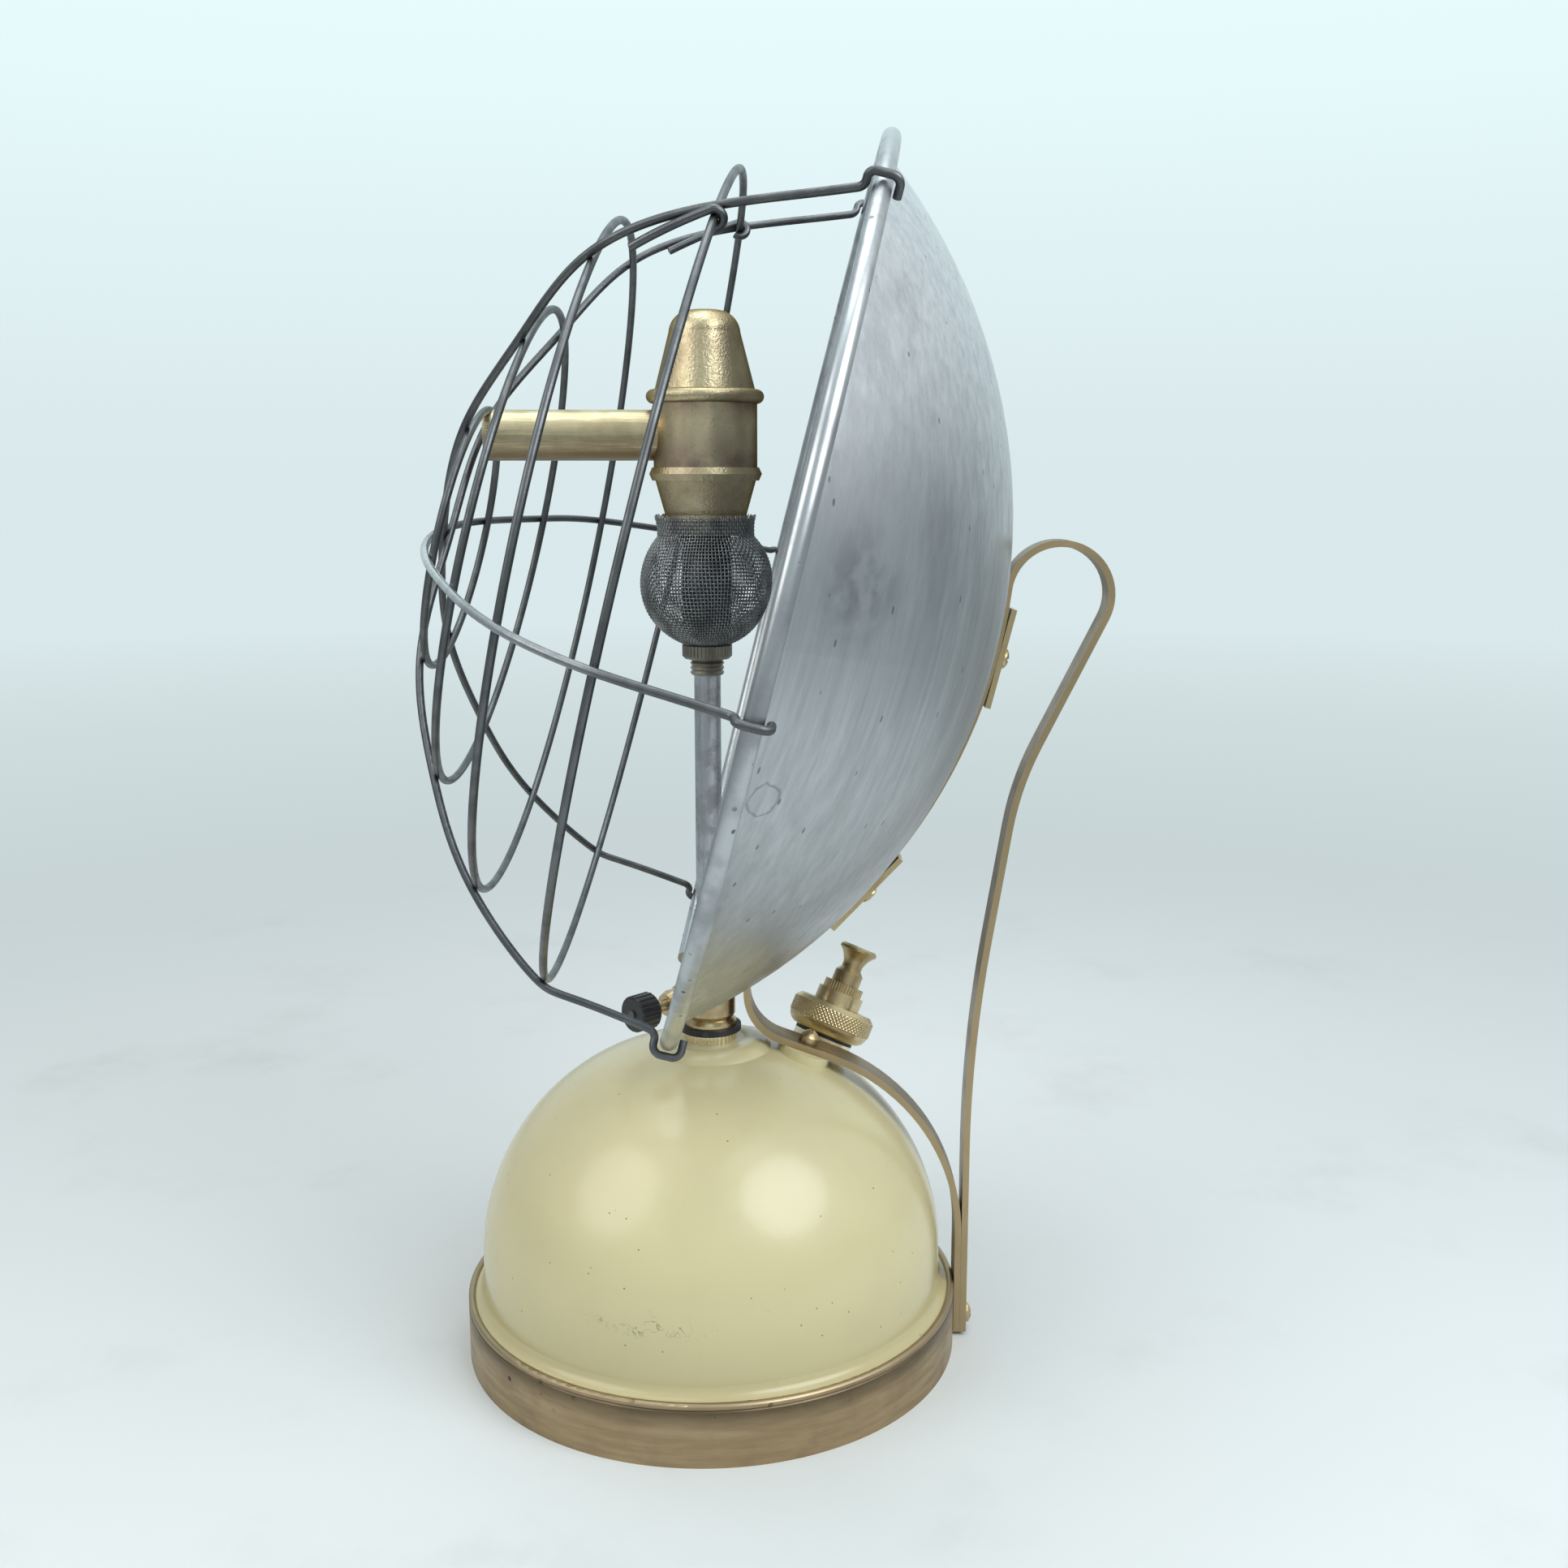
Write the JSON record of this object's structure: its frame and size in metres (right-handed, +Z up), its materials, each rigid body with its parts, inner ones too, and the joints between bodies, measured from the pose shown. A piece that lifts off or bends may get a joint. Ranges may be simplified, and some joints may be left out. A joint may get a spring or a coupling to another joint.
{
  "type": "paraffin heater",
  "caption": "Pressure paraffin radiant heater with a domed fuel tank, plunger pump, upright burner and a tilted dish reflector behind a wire guard.",
  "frame": {"origin": "centre of the base ring's underside, on the floor", "axes": "+Z up, the reflector and guard face -Y, the handle is towards +Y"},
  "size_m": [0.3275, 0.2436, 0.4359],
  "materials": {
    "cream_enamel": "glossy cream stove enamel",
    "aged_brass": "satin aged brass",
    "pale_brass": "antique pale brass with heat tint",
    "copper_brass": "worn machined brass",
    "vaporiser_steel": "mottled grey steel",
    "woven_wire": "dark oxidised woven wire cloth",
    "guard_wire": "dark grey drawn wire",
    "bowl_aluminium": "brushed and stained aluminium",
    "bakelite": "black bakelite",
    "black_rubber": "black oil-proof rubber",
    "pump_leather": "oiled leather",
    "packing": "graphited packing",
    "screw_steel": "plated steel",
    "gauze": "fine brass gauze"
  },
  "bodies": {
    "heater": {"tank_dome": "cream_enamel", "tank_floor": "cream_enamel", "base_ring": "aged_brass", "neck_ring": "pale_brass", "filler_boss": "pale_brass", "strap_boss": "aged_brass", "pick_up_tube": "copper_brass", "pick_up_filter": "gauze", "cock_washer": "black_rubber", "control_cock": "copper_brass", "gland_nut": "copper_brass", "gland_packing": "packing", "vaporiser_tube": "vaporiser_steel", "jet_nipple": "copper_brass", "globe_sleeve": "copper_brass", "globe_nut": "copper_brass", "wire_globe": "woven_wire", "globe_ring": "pale_brass", "burner_cone": "pale_brass", "burner_body": "pale_brass", "burner_cap": "pale_brass", "air_tube": "pale_brass", "reflector_bowl": "bowl_aluminium", "reflector_rim": "bowl_aluminium", "stand_strap": "aged_brass", "upper_pad": "pale_brass", "lower_pad": "pale_brass", "pad_screws": "screw_steel", "pad_nuts": "screw_steel", "base_screw": "screw_steel", "base_nut": "screw_steel", "strap_screw": "pale_brass", "guard_side_bow": "guard_wire", "guard_bow_a": "guard_wire", "guard_bow_b": "guard_wire", "guard_hoop_1": "guard_wire", "guard_hoop_2": "guard_wire", "guard_hoop_3": "guard_wire", "guard_hoop_4": "guard_wire", "guard_ties": "guard_wire"},
    "control": {"control_spindle": "copper_brass", "control_knob": "bakelite", "knob_screw": "copper_brass"},
    "pricker": {"pricker_rod": "vaporiser_steel"},
    "pump_seal": {"pump_gasket": "black_rubber"},
    "pump_unit": {"pump_cap": "aged_brass", "pump_barrel": "pale_brass", "pump_guide": "aged_brass", "valve_body": "pale_brass", "valve_spring": "screw_steel"},
    "plunger": {"pump_rod": "screw_steel", "pump_knob": "aged_brass", "pump_piston": "pale_brass", "pump_cup": "pump_leather", "piston_nut": "pale_brass"},
    "pip": {"valve_pip": "black_rubber"}
  },
  "joints": [
    {"name": "control_turn", "type": "hinge", "parent": "heater", "child": "control", "pos_m": [0, 0, 0.1352], "axis": [0.7071, -0.7071, 0], "range_deg": [0, 180]},
    {"name": "pricker_lift", "type": "slide", "parent": "heater", "child": "pricker", "axis": [0, 0, 1], "range_m": [0, 0.0025]},
    {"name": "pump_lift", "type": "slide", "parent": "heater", "child": "pump_seal", "axis": [-0.254, 0.3856, 0.887], "range_m": [0, 0.009]},
    {"name": "pump_turn", "type": "hinge", "parent": "pump_seal", "child": "pump_unit", "pos_m": [-0.027, 0.041, 0.10381], "axis": [-0.254, 0.3856, 0.887], "range_deg": [0, 2160]},
    {"name": "pump_stroke", "type": "slide", "parent": "pump_unit", "child": "plunger", "axis": [-0.254, 0.3856, 0.887], "range_m": [0, 0.055]},
    {"name": "valve_lift", "type": "slide", "parent": "pump_unit", "child": "pip", "axis": [0.254, -0.3856, -0.887], "range_m": [0, 0.0015], "stiffness_N_per_m": 150, "springref_m": -0.002, "deforming": ["valve_spring"]}
  ],
  "couplings": [
    {"joint": "control_turn", "follows": "pricker_lift", "rad_per_m": 1256.6},
    {"joint": "pump_turn", "follows": "pump_lift", "rad_per_m": 4188.7}
  ]
}
